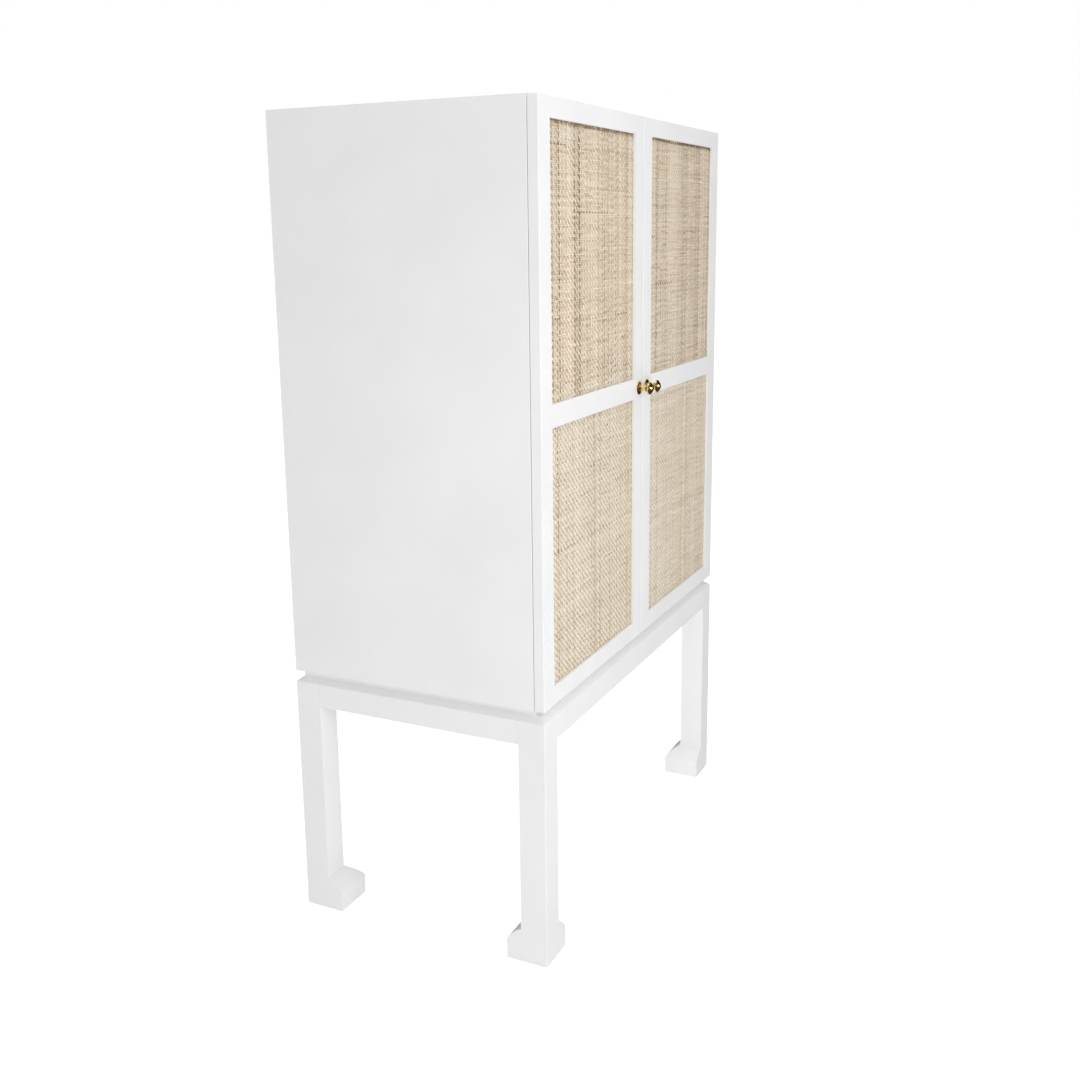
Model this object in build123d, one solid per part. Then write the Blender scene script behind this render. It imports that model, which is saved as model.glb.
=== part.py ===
from build123d import *
from math import asin, cos, sin
import os

# White lacquered cabinet on a stand: a case with two overlay doors, each with two woven
# panels, standing on a four-legged frame with block feet. Millimetres, +Z up. The doors
# face -Y, the origin is on the floor under the middle of the bounding box, and the object
# is symmetric about the plane x = 0.

os.makedirs("parts", exist_ok=True)

# Overall sizes
WIDTH = 914.0
HEIGHT = 1489.0
BODY_DEPTH = 516.0  # door face to case back
KNOB_PROJECTION = 30.0
HALF_WIDTH = WIDTH / 2
BACK_Y = (BODY_DEPTH + KNOB_PROJECTION) / 2
FACE_Y = BACK_Y - BODY_DEPTH

# Stand
GLIDE_PROUD = 1.5
LEG = 51.0
FOOT = 79.7
FOOT_BLOCK_Z = 40.0
FOOT_SLOPE_Z = 65.0
FOOT_BULGE = 2.5
RAIL_H = 53.0
RAIL_T = 38.0
CHAMFER_W = 12.0
CHAMFER_H = 9.5
NECK_H = 12.0
NECK_INSET = 12.0
NECK_SETBACK = 21.5  # behind the door face
JOINT_V = 0.6  # the fine groove where a rail meets a leg
NECK_W = 45.0
TENON_L = 20.0
TENON_T = 14.0
TENON_H = 35.0
STAND_MID_Y = (FACE_Y + BACK_Y) / 2

# Case
BOARD = 19.0
ARRIS = 1.2  # radius of a sanded and lacquered edge
CASE_BOTTOM_Z = 481.0
STAND_TOP_Z = CASE_BOTTOM_Z - NECK_H
BACK_PANEL_T = 6.0
BACK_PANEL_RECESS = 2.0
BACK_LEDGE = 7.0
INNER_X = HALF_WIDTH - BOARD
FLOOR_Z = CASE_BOTTOM_Z + BOARD
CEILING_Z = HEIGHT - BOARD
BACK_PANEL_Y = BACK_Y - BACK_PANEL_RECESS - BACK_PANEL_T
SHELF_COUNT = 3
SHELF_SETBACK = 30.0
SHELF_PIN_Y = 130.0  # from the middle of the shelf to each row of pin holes
PIN_PITCH = 32.0

# Doors
DOOR_T = 19.0
DOOR_GAP = 0.8
DOOR_END_GAP = 1.0
MEETING_GAP = 3.0
STILE_W = 42.0
RAIL_W = 33.0
MID_RAIL_W = 39.0
MID_RAIL_Z = 983.5
LIP_T = 5.0
REBATE_W = 10.0
WEAVE_T = 1.5
BACKER_T = 6.0
PANEL_PLAY = 0.5
DOOR_BACK_Y = FACE_Y + DOOR_T
CASE_FRONT_Y = DOOR_BACK_Y + DOOR_GAP
DOOR_LOW_Z = CASE_BOTTOM_Z + DOOR_END_GAP
DOOR_HIGH_Z = HEIGHT - DOOR_END_GAP
DOOR_INNER_X = -MEETING_GAP / 2
DOOR_TENON_L = 15.0
DOOR_TENON_T = 8.0
DOOR_TENON_H = 15.0

# Hardware
HINGE_HEIGHTS = (CASE_BOTTOM_Z + 100, MID_RAIL_Z + 62, HEIGHT - 100)
CUP_R = 13.0
CUP_DEPTH = 11.0
CUP_WALL = 1.0
FLANGE_T = 1.0
FLANGE_REACH = 1.5
FLANGE_HALF_W = 7.0
FLANGE_HALF_H = 24.0
FLANGE_SCREW_R = 2.8
FLANGE_SCREW_Z = 19.0  # from the middle of the cup
CUP_FROM_EDGE = 16.5
KNOB_FROM_MIDDLE = 20.0
STRIKE_X = (-24.0, -4.0)
STRIKE_T = 1.2
BUMPER_X = -60.0
BUMPER_R = 4.5
BUMPER_LET_IN = 1.0
ROSETTE_R = 12.75
ROSETTE_T = 2.5
HOLE_PLAY = 0.05

FROM_CORNER = (Align.MIN, Align.MIN, Align.MIN)


def block(x, y, z):
    """A rectangular block between the low and high values of x, y and z."""
    size = [high - low for low, high in (x, y, z)]
    return Pos(x[0], y[0], z[0]) * Box(*size, align=FROM_CORNER)


def rod(radius, start, end):
    """A round rod of the given radius from start to end."""
    span = Vector(*end) - Vector(*start)
    at = Plane(origin=start, z_dir=span)
    return at * Cylinder(radius, span.length, align=(Align.CENTER, Align.CENTER, Align.MIN))


def cone(radius, tip_radius, start, end):
    """A round taper from radius at start to tip_radius at end."""
    span = Vector(*end) - Vector(*start)
    at = Plane(origin=start, z_dir=span)
    centred = (Align.CENTER, Align.CENTER, Align.MIN)
    return at * Cone(radius, tip_radius, span.length, align=centred)


def grown(span, by):
    """A range of values widened by the same amount at both ends."""
    return (span[0] - by, span[1] + by)


def flip_x(shape):
    """The mirror image of a left-hand piece on the right."""
    return mirror(shape, about=Plane.YZ)


def flip_stand_y(shape):
    """The mirror image of a front stand piece at the rear."""
    return mirror(shape, about=Plane(origin=(0, STAND_MID_Y, 0), z_dir=(0, 1, 0)))


def save(node, pieces):
    """Write one node, which may hold several separate solids."""
    solids = [solid for piece in pieces for solid in piece.solids()]
    export_step(Compound(solids), f"parts/{node}.step")


# ---------------------------------------------------------------- stand


def foot_profile(plane):
    """The outline of a leg in one plane: outer edge at 0, foot swelling inwards, top chamfered."""
    middle = (LEG + FOOT) / 2
    with BuildSketch(plane) as outline:
        with BuildLine():
            Polyline(
                (LEG, FOOT_SLOPE_Z),
                (LEG, STAND_TOP_Z),
                (CHAMFER_W, STAND_TOP_Z),
                (0, STAND_TOP_Z - CHAMFER_H),
                (0, GLIDE_PROUD),
                (FOOT, GLIDE_PROUD),
                (FOOT, FOOT_BLOCK_Z),
            )
            ThreePointArc(
                (FOOT, FOOT_BLOCK_Z),
                (middle + FOOT_BULGE * 0.7, (FOOT_BLOCK_Z + FOOT_SLOPE_Z) / 2 + FOOT_BULGE * 0.7),
                (LEG, FOOT_SLOPE_Z),
            )
        make_face()
    return outline.sketch


TENON_Z = (STAND_TOP_Z - CHAMFER_H - TENON_H, STAND_TOP_Z - CHAMFER_H)
TENON_ACROSS = (NECK_INSET, NECK_INSET + TENON_T)
BRACE_Z = (STAND_TOP_Z - 42, STAND_TOP_Z - 12)
BRACE_REACH = 60.0
BRACE_CLEAR = 4.0
BOLT_R = 3.0
GLIDE_R = 12.0


def leg_at_origin():
    """A leg whose outer corner is at x = y = 0 and whose foot swells towards +X and +Y."""
    seen_from_front = extrude(foot_profile(Plane.XZ), -FOOT)
    seen_from_side = extrude(foot_profile(Plane.YZ), FOOT)
    leg = seen_from_front & seen_from_side
    leg -= block((LEG - TENON_L, LEG + 1), TENON_ACROSS, TENON_Z)
    leg -= block(TENON_ACROSS, (LEG - TENON_L, LEG + 1), TENON_Z)
    bolt_z = sum(BRACE_Z) / 2
    leg -= rod(BOLT_R + HOLE_PLAY, (LEG - 18, LEG - 18, bolt_z), (LEG + 5, LEG + 5, bolt_z))
    centre = FOOT / 2
    leg -= rod(GLIDE_R + HOLE_PLAY, (centre, centre, 0), (centre, centre, GLIDE_PROUD + 3))
    corner = leg.edges().filter_by(Axis.Z).sort_by_distance((0, 0, STAND_TOP_Z / 2))[0]
    return fillet(corner, ARRIS)


def glide_at_origin():
    """A nylon glide let into the underside of a foot."""
    centre = FOOT / 2
    glide = rod(GLIDE_R, (centre, centre, 0), (centre, centre, GLIDE_PROUD + 3))
    rim = glide.edges().group_by(Axis.Z)[0]
    return chamfer(rim, 0.8)


def brace_at_origin():
    """A corner block glued and bolted behind a leg."""
    far = LEG + BRACE_REACH
    near = LEG + BRACE_CLEAR
    with BuildSketch(Plane.XY.offset(BRACE_Z[0])) as outline:
        with BuildLine():
            Polyline(
                (far, RAIL_T),
                (near, RAIL_T),
                (near, near),
                (RAIL_T, near),
                (RAIL_T, far),
                close=True,
            )
        make_face()
    brace = extrude(outline.sketch, BRACE_Z[1] - BRACE_Z[0])
    bolt_z = sum(BRACE_Z) / 2
    return brace - rod(BOLT_R + 0.2, (near - 5, near - 5, bolt_z), (far, far, bolt_z))


def brace_bolt_at_origin():
    """A hanger bolt through a corner block into its leg, with washer and nut."""
    bolt_z = sum(BRACE_Z) / 2
    face = (LEG + BRACE_REACH + RAIL_T) / 2
    along = Plane(origin=(face, face, bolt_z), x_dir=(0, 0, 1), z_dir=(1, 1, 0))
    shank = rod(BOLT_R, (LEG - 17.5, LEG - 17.5, bolt_z), (face + 6, face + 6, bolt_z))
    washer = along * Cylinder(8, 1.2, align=(Align.CENTER, Align.CENTER, Align.MIN))
    nut = along.offset(1.2) * extrude(RegularPolygon(6.2, 6), 5)
    return shank + washer + nut


def four_corners(shape):
    """A corner piece at the four corners of the stand, front left first."""
    front_left = Pos(-HALF_WIDTH, FACE_Y, 0) * shape
    rear_left = flip_stand_y(front_left)
    return {
        "front_left": front_left,
        "front_right": flip_x(front_left),
        "rear_left": rear_left,
        "rear_right": flip_x(rear_left),
    }


def rail_between(span, plane, inward):
    """A stand rail of length span along the plane's normal, chamfered outside, with a tenon each end."""
    with BuildSketch(plane) as section:
        with BuildLine():
            Polyline(
                (0, STAND_TOP_Z - RAIL_H),
                (inward * RAIL_T, STAND_TOP_Z - RAIL_H),
                (inward * RAIL_T, STAND_TOP_Z),
                (inward * CHAMFER_W, STAND_TOP_Z),
                (0, STAND_TOP_Z - CHAMFER_H),
                close=True,
            )
        make_face()
    return extrude(section.sketch, span / 2, both=True)


def stand_rails():
    """The four rails, each with a tenon into the leg at either end."""
    tenon_z = (TENON_Z[0] + HOLE_PLAY, TENON_Z[1] - HOLE_PLAY)
    tenon_across = (TENON_ACROSS[0] + HOLE_PLAY, TENON_ACROSS[1] - HOLE_PLAY)
    reach = TENON_L - 0.5

    half_front = HALF_WIDTH - LEG
    front = rail_between(2 * half_front, Plane((0, FACE_Y, 0), (0, 1, 0), (1, 0, 0)), 1)
    front = chamfer(front.edges().filter_by(Axis.Z).group_by(Axis.Y)[0], JOINT_V)
    across = tuple(FACE_Y + value for value in tenon_across)
    front += block((-half_front - reach, half_front + reach), across, tenon_z)

    half_side = BODY_DEPTH / 2 - LEG
    left_plane = Plane((-HALF_WIDTH, STAND_MID_Y, 0), (1, 0, 0), (0, -1, 0))
    left = rail_between(2 * half_side, left_plane, 1)
    left = chamfer(left.edges().filter_by(Axis.Z).group_by(Axis.X)[0], JOINT_V)
    across = tuple(-HALF_WIDTH + value for value in tenon_across)
    side_y = (STAND_MID_Y - half_side - reach, STAND_MID_Y + half_side + reach)
    left += block(across, side_y, tenon_z)
    return {"front": front, "rear": flip_stand_y(front), "left": left, "right": flip_x(left)}


NECK_FRONT_Y = FACE_Y + NECK_SETBACK
NECK_BACK_Y = BACK_Y - NECK_INSET
NECK_X = HALF_WIDTH - NECK_INSET
NECK_Z = (STAND_TOP_Z, CASE_BOTTOM_Z)
SCREW_R = 2.0
SCREW_HEAD_R = 4.0
SCREW_LENGTH = 28.0
SCREW_HEAD_H = 2.5


def stand_screw(x, y, top_z, direction):
    """A countersunk wood screw whose head is flush at top_z and points up (1) or down (-1)."""
    neck_z = top_z + direction * SCREW_HEAD_H
    head = cone(SCREW_HEAD_R, SCREW_R, (x, y, top_z), (x, y, neck_z))
    return head + rod(SCREW_R, (x, y, neck_z), (x, y, top_z + direction * SCREW_LENGTH))


def stand_screw_hole(x, y, top_z, direction):
    """The hole that a stand screw fills, with a little play."""
    deep = top_z + direction * (SCREW_LENGTH + 0.5)
    neck_z = top_z + direction * SCREW_HEAD_H
    wide = SCREW_HEAD_R + HOLE_PLAY
    narrow = SCREW_R + HOLE_PLAY
    return cone(wide, narrow, (x, y, top_z), (x, y, neck_z)) + rod(narrow, (x, y, top_z), (x, y, deep))


def stand_screw_places():
    """Every stand screw as x, y, head height and direction: down into a rail or up into the case."""
    down_side_x = HALF_WIDTH - RAIL_T / 2
    up_side_x = NECK_X - NECK_W + 9
    places = []
    for side in (-1, 1):
        for y in (-110.0, 150.0):
            places.append((side * down_side_x, y, CASE_BOTTOM_Z, -1))
            places.append((side * up_side_x, y + 30, STAND_TOP_Z, 1))
        for down_y, up_y in ((NECK_FRONT_Y + 8, NECK_FRONT_Y + 33), (NECK_BACK_Y - 13, NECK_BACK_Y - 36)):
            places.append((side * 200.0, down_y, CASE_BOTTOM_Z, -1))
            places.append((side * 230.0, up_y, STAND_TOP_Z, 1))
    return places


def neck_frame():
    """Four flat strips that hold the case off the stand rails and make the shadow gap."""
    front = block((-NECK_X, NECK_X), (NECK_FRONT_Y, NECK_FRONT_Y + NECK_W), NECK_Z)
    rear = block((-NECK_X, NECK_X), (NECK_BACK_Y - NECK_W, NECK_BACK_Y), NECK_Z)
    side_y = (NECK_FRONT_Y + NECK_W, NECK_BACK_Y - NECK_W)
    left = block((-NECK_X, -NECK_X + NECK_W), side_y, NECK_Z)
    return [front, rear, left, flip_x(left)]


def make_stand():
    holes = [stand_screw_hole(*place) for place in stand_screw_places()]
    for corner, leg in four_corners(leg_at_origin()).items():
        save(f"{corner}_leg", [leg])
    for side, rail in stand_rails().items():
        save(f"{side}_stand_rail", [rail - holes])
    save("neck_frame", [strip - holes for strip in neck_frame()])
    save("stand_screws", [stand_screw(*place) for place in stand_screw_places()])
    save("corner_braces", four_corners(brace_at_origin()).values())
    save("corner_bolts", four_corners(brace_bolt_at_origin()).values())
    save("foot_glides", four_corners(glide_at_origin()).values())
    return holes


# ---------------------------------------------------------------- case

DOWEL_R = 4.0
DOWEL_IN_SIDE = 12.0
DOWEL_IN_PANEL = 18.0
DOWEL_YS = (-180.0, -40.0, 100.0, 225.0)
BACK_SCREW_R = 1.75
BACK_SCREW_LENGTH = 18.0
PIN_R = 2.5
PIN_DEPTH = 10.0


def dowel_places():
    """Every dowel of the left side as y and z: a row in the top and a row in the bottom."""
    heights = (CASE_BOTTOM_Z + BOARD / 2, HEIGHT - BOARD / 2)
    return [(y, z) for z in heights for y in DOWEL_YS]


def dowels(radius, play):
    """The left side's dowels, or with play added, the holes they fill."""
    outer = -INNER_X - DOWEL_IN_SIDE - play
    inner = -INNER_X + DOWEL_IN_PANEL + play
    return [rod(radius + play, (outer, y, z), (inner, y, z)) for y, z in dowel_places()]


def shelf_heights():
    """The underside of each shelf, so that the compartments are equal."""
    room = (CEILING_Z - FLOOR_Z - SHELF_COUNT * BOARD) / (SHELF_COUNT + 1)
    return [FLOOR_Z + room + step * (room + BOARD) for step in range(SHELF_COUNT)]


SHELF_Y = (CASE_FRONT_Y + SHELF_SETBACK, BACK_PANEL_Y - 2)
PIN_YS = tuple(sum(SHELF_Y) / 2 + side * SHELF_PIN_Y for side in (-1, 1))


def shelf_pin_at(y, shelf_z):
    """A steel shelf support: a peg in the side and a flat under the shelf."""
    peg = rod(PIN_R, (-INNER_X - PIN_DEPTH, y, shelf_z - 3), (-INNER_X, y, shelf_z - 3))
    return peg + block((-INNER_X, -INNER_X + 11), (y - 5, y + 5), (shelf_z - 6, shelf_z))


def pin_holes():
    """Two rows of holes in the left side: each shelf can move two steps up or down."""
    steps = range(-2, 3)
    heights = [z - 3 + step * PIN_PITCH for z in shelf_heights() for step in steps]
    wide = PIN_R + HOLE_PLAY
    deep = -INNER_X - PIN_DEPTH - 0.5
    return [rod(wide, (deep, y, z), (-INNER_X + 1, y, z)) for y in PIN_YS for z in heights]


def back_screw_places():
    """Screws around the edge of the back panel, as x and z."""
    ledge = BACK_LEDGE / 2
    rows = [CASE_BOTTOM_Z + 60 + step * (HEIGHT - CASE_BOTTOM_Z - 120) / 4 for step in range(5)]
    columns = [-330.0, -110.0, 110.0, 330.0]
    places = [(side * (INNER_X + ledge), z) for side in (-1, 1) for z in rows]
    return places + [(x, z) for x in columns for z in (FLOOR_Z - ledge, CEILING_Z + ledge)]


def back_screw(x, z):
    head_y = BACK_PANEL_Y + BACK_PANEL_T
    shank = rod(BACK_SCREW_R, (x, head_y - BACK_SCREW_LENGTH, z), (x, head_y, z))
    head = rod(3.2, (x, head_y, z), (x, head_y + 1.8, z))
    head = fillet(head.edges().group_by(Axis.Y)[-1], 1.2)
    slots = block((x - 1.8, x + 1.8), (head_y + 0.9, head_y + 2), (z - 0.4, z + 0.4))
    slots += block((x - 0.4, x + 0.4), (head_y + 0.9, head_y + 2), (z - 1.8, z + 1.8))
    return shank + head - slots


def back_screw_holes():
    front_y = BACK_PANEL_Y + BACK_PANEL_T - BACK_SCREW_LENGTH - 0.5
    wide = BACK_SCREW_R + HOLE_PLAY
    return [rod(wide, (x, front_y, z), (x, BACK_Y, z)) for x, z in back_screw_places()]


HINGE_PLATE_Y = (CASE_FRONT_Y + 19, CASE_FRONT_Y + 64)
HINGE_ARM_Y = (CASE_FRONT_Y + 1.5, CASE_FRONT_Y + 72)
PLATE_T = 2.0
PLATE_HALF_W = 7.0
PLATE_HALF_H = 25.0
PLATE_SCREW_Z = 16.0  # from the middle of the plate
PLATE_SCREW_R = 3.6
PLATE_SCREW_T = 1.2
ARM_T = 11.0
ARM_HALF_H = 8.0
ARM_WALL = 1.6
ARM_NOSE_R = 7.0
ARM_CLOSED_L = 6.0
ARM_SCREWS = (24.0, 54.0)  # from the nose
ARM_SCREW_R = 3.4
ARM_SCREW_T = 1.0


def hinge_plate_at(z):
    """A cross-shaped mounting plate on the side panel, with its two screws."""
    x = (-INNER_X, -INNER_X + PLATE_T)
    middle_y = sum(HINGE_PLATE_Y) / 2
    plate = block(x, HINGE_PLATE_Y, (z - PLATE_HALF_W, z + PLATE_HALF_W))
    wings_y = (middle_y - PLATE_HALF_W, middle_y + PLATE_HALF_W)
    plate += block(x, wings_y, (z - PLATE_HALF_H, z + PLATE_HALF_H))
    for side in (-1, 1):
        screw_z = z + side * PLATE_SCREW_Z
        head_x = x[1] + PLATE_SCREW_T
        plate += rod(PLATE_SCREW_R, (x[1], middle_y, screw_z), (head_x, middle_y, screw_z))
    return fillet(plate.edges().filter_by(Axis.X).group_by(Axis.Z)[-1], 3)


def hinge_arm_at(z):
    """A pressed steel hinge arm: a channel over the plate, with a rounded nose and two screws."""
    x = (-INNER_X + PLATE_T, -INNER_X + PLATE_T + ARM_T)
    arm = block(x, HINGE_ARM_Y, (z - ARM_HALF_H, z + ARM_HALF_H))
    nose = arm.edges().filter_by(Axis.Z).group_by(Axis.Y)[0].sort_by(Axis.X)[-1]
    arm = fillet(nose, ARM_NOSE_R)
    hollow_y = (HINGE_ARM_Y[0] + ARM_CLOSED_L, HINGE_ARM_Y[1] + 1)
    hollow_half_h = ARM_HALF_H - ARM_WALL
    arm -= block((x[0] - 1, x[1] - ARM_WALL), hollow_y, (z - hollow_half_h, z + hollow_half_h))
    for offset in ARM_SCREWS:
        y = HINGE_ARM_Y[0] + offset
        arm += rod(ARM_SCREW_R, (x[1], y, z), (x[1] + ARM_SCREW_T, y, z))
        arm -= block((x[1] + 0.4, x[1] + 2), (y - 2.4, y + 2.4), (z - 0.4, z + 0.4))
    return arm


CATCH_Z = (CEILING_Z - 14, CEILING_Z)
CATCH_HALF_W = 24.0
CATCH_DEPTH = 15.0
CATCH_WALL = 3.0
MAGNET_X = (6.0, 20.0)
MAGNET_DEPTH = 12.0
MAGNET_PLAY = 0.1


def magnet_at(side, play):
    """One magnet of the catch, or with play added, the pocket it fills."""
    x = sorted(side * value for value in grown(MAGNET_X, play))
    y = (CASE_FRONT_Y, CASE_FRONT_Y + MAGNET_DEPTH + play)
    return block(x, y, grown(CATCH_Z, play - CATCH_WALL))


def magnetic_catch():
    """A double catch under the top, one magnet for each door."""
    housing_y = (CASE_FRONT_Y, CASE_FRONT_Y + CATCH_DEPTH)
    housing = block((-CATCH_HALF_W, CATCH_HALF_W), housing_y, CATCH_Z)
    return housing - [magnet_at(side, MAGNET_PLAY) for side in (-1, 1)]


def make_case(stand_holes):
    holes = dowels(DOWEL_R, HOLE_PLAY)
    screw_holes = back_screw_holes()
    case_y = (CASE_FRONT_Y, BACK_Y)
    ledge_y = (BACK_PANEL_Y, BACK_Y + 1)

    left = block((-HALF_WIDTH, -INNER_X), case_y, (CASE_BOTTOM_Z, HEIGHT))
    outer = left.edges().filter_by(Axis.Z).group_by(Axis.X)[0]
    top = left.edges().group_by(Axis.Z)[-1].filter_by(Axis.Y).sort_by(Axis.X)[0]
    left = fillet([*outer, top], ARRIS)
    ledge_z = (FLOOR_Z - BACK_LEDGE, CEILING_Z + BACK_LEDGE)
    left -= block((-INNER_X - BACK_LEDGE, -INNER_X + 1), ledge_y, ledge_z)
    left -= holes + screw_holes + pin_holes()
    save("left_side_panel", [left])
    save("right_side_panel", [flip_x(left)])

    between = (-INNER_X, INNER_X)
    both_sides = holes + [flip_x(hole) for hole in holes]
    roof = block(between, case_y, (CEILING_Z, HEIGHT))
    roof -= block((-WIDTH, WIDTH), ledge_y, (CEILING_Z - 1, CEILING_Z + BACK_LEDGE))
    save("top_panel", [roof - both_sides - screw_holes])
    floor = block(between, case_y, (CASE_BOTTOM_Z, FLOOR_Z))
    floor -= block((-WIDTH, WIDTH), ledge_y, (FLOOR_Z - BACK_LEDGE, FLOOR_Z + 1))
    save("bottom_panel", [floor - both_sides - screw_holes - stand_holes])

    edge = BACK_LEDGE - PANEL_PLAY
    back_z = (FLOOR_Z - edge, CEILING_Z + edge)
    back_y = (BACK_PANEL_Y, BACK_PANEL_Y + BACK_PANEL_T)
    back = block((-INNER_X - edge, INNER_X + edge), back_y, back_z)
    save("back_panel", [back - screw_holes])
    save("back_panel_screws", [back_screw(*place) for place in back_screw_places()])

    left_dowels = dowels(DOWEL_R, 0.0)
    save("case_dowels", left_dowels + [flip_x(dowel) for dowel in left_dowels])

    for name, z in zip(("lower", "middle", "upper"), shelf_heights()):
        shelf = block((-INNER_X + 1, INNER_X - 1), SHELF_Y, (z, z + BOARD))
        front = shelf.edges().filter_by(Axis.X).group_by(Axis.Y)[0]
        save(f"{name}_shelf", [fillet(front, ARRIS)])
    pins = [shelf_pin_at(y, z) for z in shelf_heights() for y in PIN_YS]
    save("shelf_pins", pins + [flip_x(pin) for pin in pins])

    plates = [hinge_plate_at(z) for z in HINGE_HEIGHTS]
    arms = [hinge_arm_at(z) for z in HINGE_HEIGHTS]
    save("hinge_plates", plates + [flip_x(plate) for plate in plates])
    save("hinge_arms", arms + [flip_x(arm) for arm in arms])
    save("magnetic_catch", [magnetic_catch()])
    save("catch_magnets", [magnet_at(side, 0.0) for side in (-1, 1)])


# ---------------------------------------------------------------- doors

OUTER_STILE_X = (-HALF_WIDTH, -HALF_WIDTH + STILE_W)
INNER_STILE_X = (DOOR_INNER_X - STILE_W, DOOR_INNER_X)
OPENING_X = (OUTER_STILE_X[1], INNER_STILE_X[0])
TOP_RAIL_Z = (DOOR_HIGH_Z - RAIL_W, DOOR_HIGH_Z)
CENTRE_RAIL_Z = (MID_RAIL_Z - MID_RAIL_W / 2, MID_RAIL_Z + MID_RAIL_W / 2)
BOTTOM_RAIL_Z = (DOOR_LOW_Z, DOOR_LOW_Z + RAIL_W)
OPENINGS_Z = {
    "lower": (BOTTOM_RAIL_Z[1], CENTRE_RAIL_Z[0]),
    "upper": (CENTRE_RAIL_Z[1], TOP_RAIL_Z[0]),
}
WEAVE_Y = (FACE_Y + LIP_T, FACE_Y + LIP_T + WEAVE_T)
BACKER_Y = (WEAVE_Y[1], WEAVE_Y[1] + BACKER_T)
BEAD_Y = (BACKER_Y[1], DOOR_BACK_Y)
CUP_X = -HALF_WIDTH + CUP_FROM_EDGE
KNOB_X = -KNOB_FROM_MIDDLE


def panel_rebates():
    """The two pockets cut from the back of the door frame to take the panels."""
    pocket_y = (WEAVE_Y[0], DOOR_BACK_Y + 1)
    return [
        block(grown(OPENING_X, REBATE_W), pocket_y, grown(z, REBATE_W))
        for z in OPENINGS_Z.values()
    ]


def door_tenon_z(rail_z, ends):
    """The tenon's height range: in the solid wood of the rail, clear of its rebates."""
    low = rail_z[0] + (REBATE_W if ends[0] else 0)
    high = rail_z[1] - (REBATE_W if ends[1] else 0)
    middle = (low + high) / 2
    return (middle - DOOR_TENON_H / 2, middle + DOOR_TENON_H / 2)


DOOR_TENON_Y = (FACE_Y + LIP_T + 1, FACE_Y + LIP_T + 1 + DOOR_TENON_T)
RAILS = {
    "top": (TOP_RAIL_Z, (True, False)),
    "mid": (CENTRE_RAIL_Z, (True, True)),
    "bottom": (BOTTOM_RAIL_Z, (False, True)),
}


def door_mortises():
    play = HOLE_PLAY
    return [
        block(
            grown(OPENING_X, DOOR_TENON_L),
            grown(DOOR_TENON_Y, play),
            grown(door_tenon_z(*rail), play),
        )
        for rail in RAILS.values()
    ]


def cup_flange(z, play):
    """The cup's flange: a ring with a wing above and below, let in flush with the stile."""
    y = (DOOR_BACK_Y - FLANGE_T - play, DOOR_BACK_Y)
    ring = rod(CUP_R + FLANGE_REACH + play, (CUP_X, y[0], z), (CUP_X, y[1], z))
    half_w = FLANGE_HALF_W + play
    half_h = FLANGE_HALF_H + play
    return ring + block((CUP_X - half_w, CUP_X + half_w), y, (z - half_h, z + half_h))


def hinge_cup_at(z):
    """A pressed cup let into the stile, with its flange and the folded link inside it."""
    floor_y = DOOR_BACK_Y - CUP_DEPTH
    cup = rod(CUP_R, (CUP_X, floor_y, z), (CUP_X, DOOR_BACK_Y - FLANGE_T, z)) + cup_flange(z, 0.0)
    cup -= rod(CUP_R - CUP_WALL, (CUP_X, floor_y + CUP_WALL, z), (CUP_X, DOOR_BACK_Y + 1, z))
    cup += block((CUP_X + 1, CUP_X + 8), (floor_y + CUP_WALL / 2, DOOR_BACK_Y - 0.5), (z - 5, z + 5))
    for side in (-1, 1):
        screw_z = z + side * FLANGE_SCREW_Z
        cup -= rod(FLANGE_SCREW_R, (CUP_X, DOOR_BACK_Y - 0.4, screw_z), (CUP_X, DOOR_BACK_Y + 1, screw_z))
    return cup


def cup_holes(z):
    """The bore and the shallow housing that a cup fills."""
    bore_y = DOOR_BACK_Y - CUP_DEPTH - 0.2
    return rod(CUP_R + HOLE_PLAY, (CUP_X, bore_y, z), (CUP_X, DOOR_BACK_Y, z)) + cup_flange(z, HOLE_PLAY)


def hinge_stile():
    stile = block(OUTER_STILE_X, (FACE_Y, DOOR_BACK_Y), (DOOR_LOW_Z, DOOR_HIGH_Z))
    outer = stile.edges().filter_by(Axis.Z).group_by(Axis.X)[0]
    stile = fillet(outer, ARRIS)
    return stile - (panel_rebates() + door_mortises() + [cup_holes(z) for z in HINGE_HEIGHTS])


KNOB_SCREW_R = 2.0
KNOB_SCREW_HEAD_R = 4.0
KNOB_SCREW_REACH = 8.0


def meeting_stile():
    stile = block(INNER_STILE_X, (FACE_Y, DOOR_BACK_Y), (DOOR_LOW_Z, DOOR_HIGH_Z))
    meeting = stile.edges().filter_by(Axis.Z).group_by(Axis.X)[-1]
    stile = fillet(meeting, ARRIS)
    shank = rod(KNOB_SCREW_R + 0.2, (KNOB_X, FACE_Y - 1, MID_RAIL_Z), (KNOB_X, DOOR_BACK_Y, MID_RAIL_Z))
    counterbore = rod(
        KNOB_SCREW_HEAD_R + 0.5,
        (KNOB_X, DOOR_BACK_Y - 3, MID_RAIL_Z),
        (KNOB_X, DOOR_BACK_Y + 1, MID_RAIL_Z),
    )
    holes = [shank, counterbore, strike_place(HOLE_PLAY)]
    return stile - (panel_rebates() + door_mortises() + holes)


def door_rail(rail_z, ends):
    rail = block(OPENING_X, (FACE_Y, DOOR_BACK_Y), rail_z)
    rail -= panel_rebates() + bumper_pads(HOLE_PLAY)
    reach = grown(OPENING_X, DOOR_TENON_L - 0.5)
    return rail + block(reach, DOOR_TENON_Y, door_tenon_z(rail_z, ends))


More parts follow.
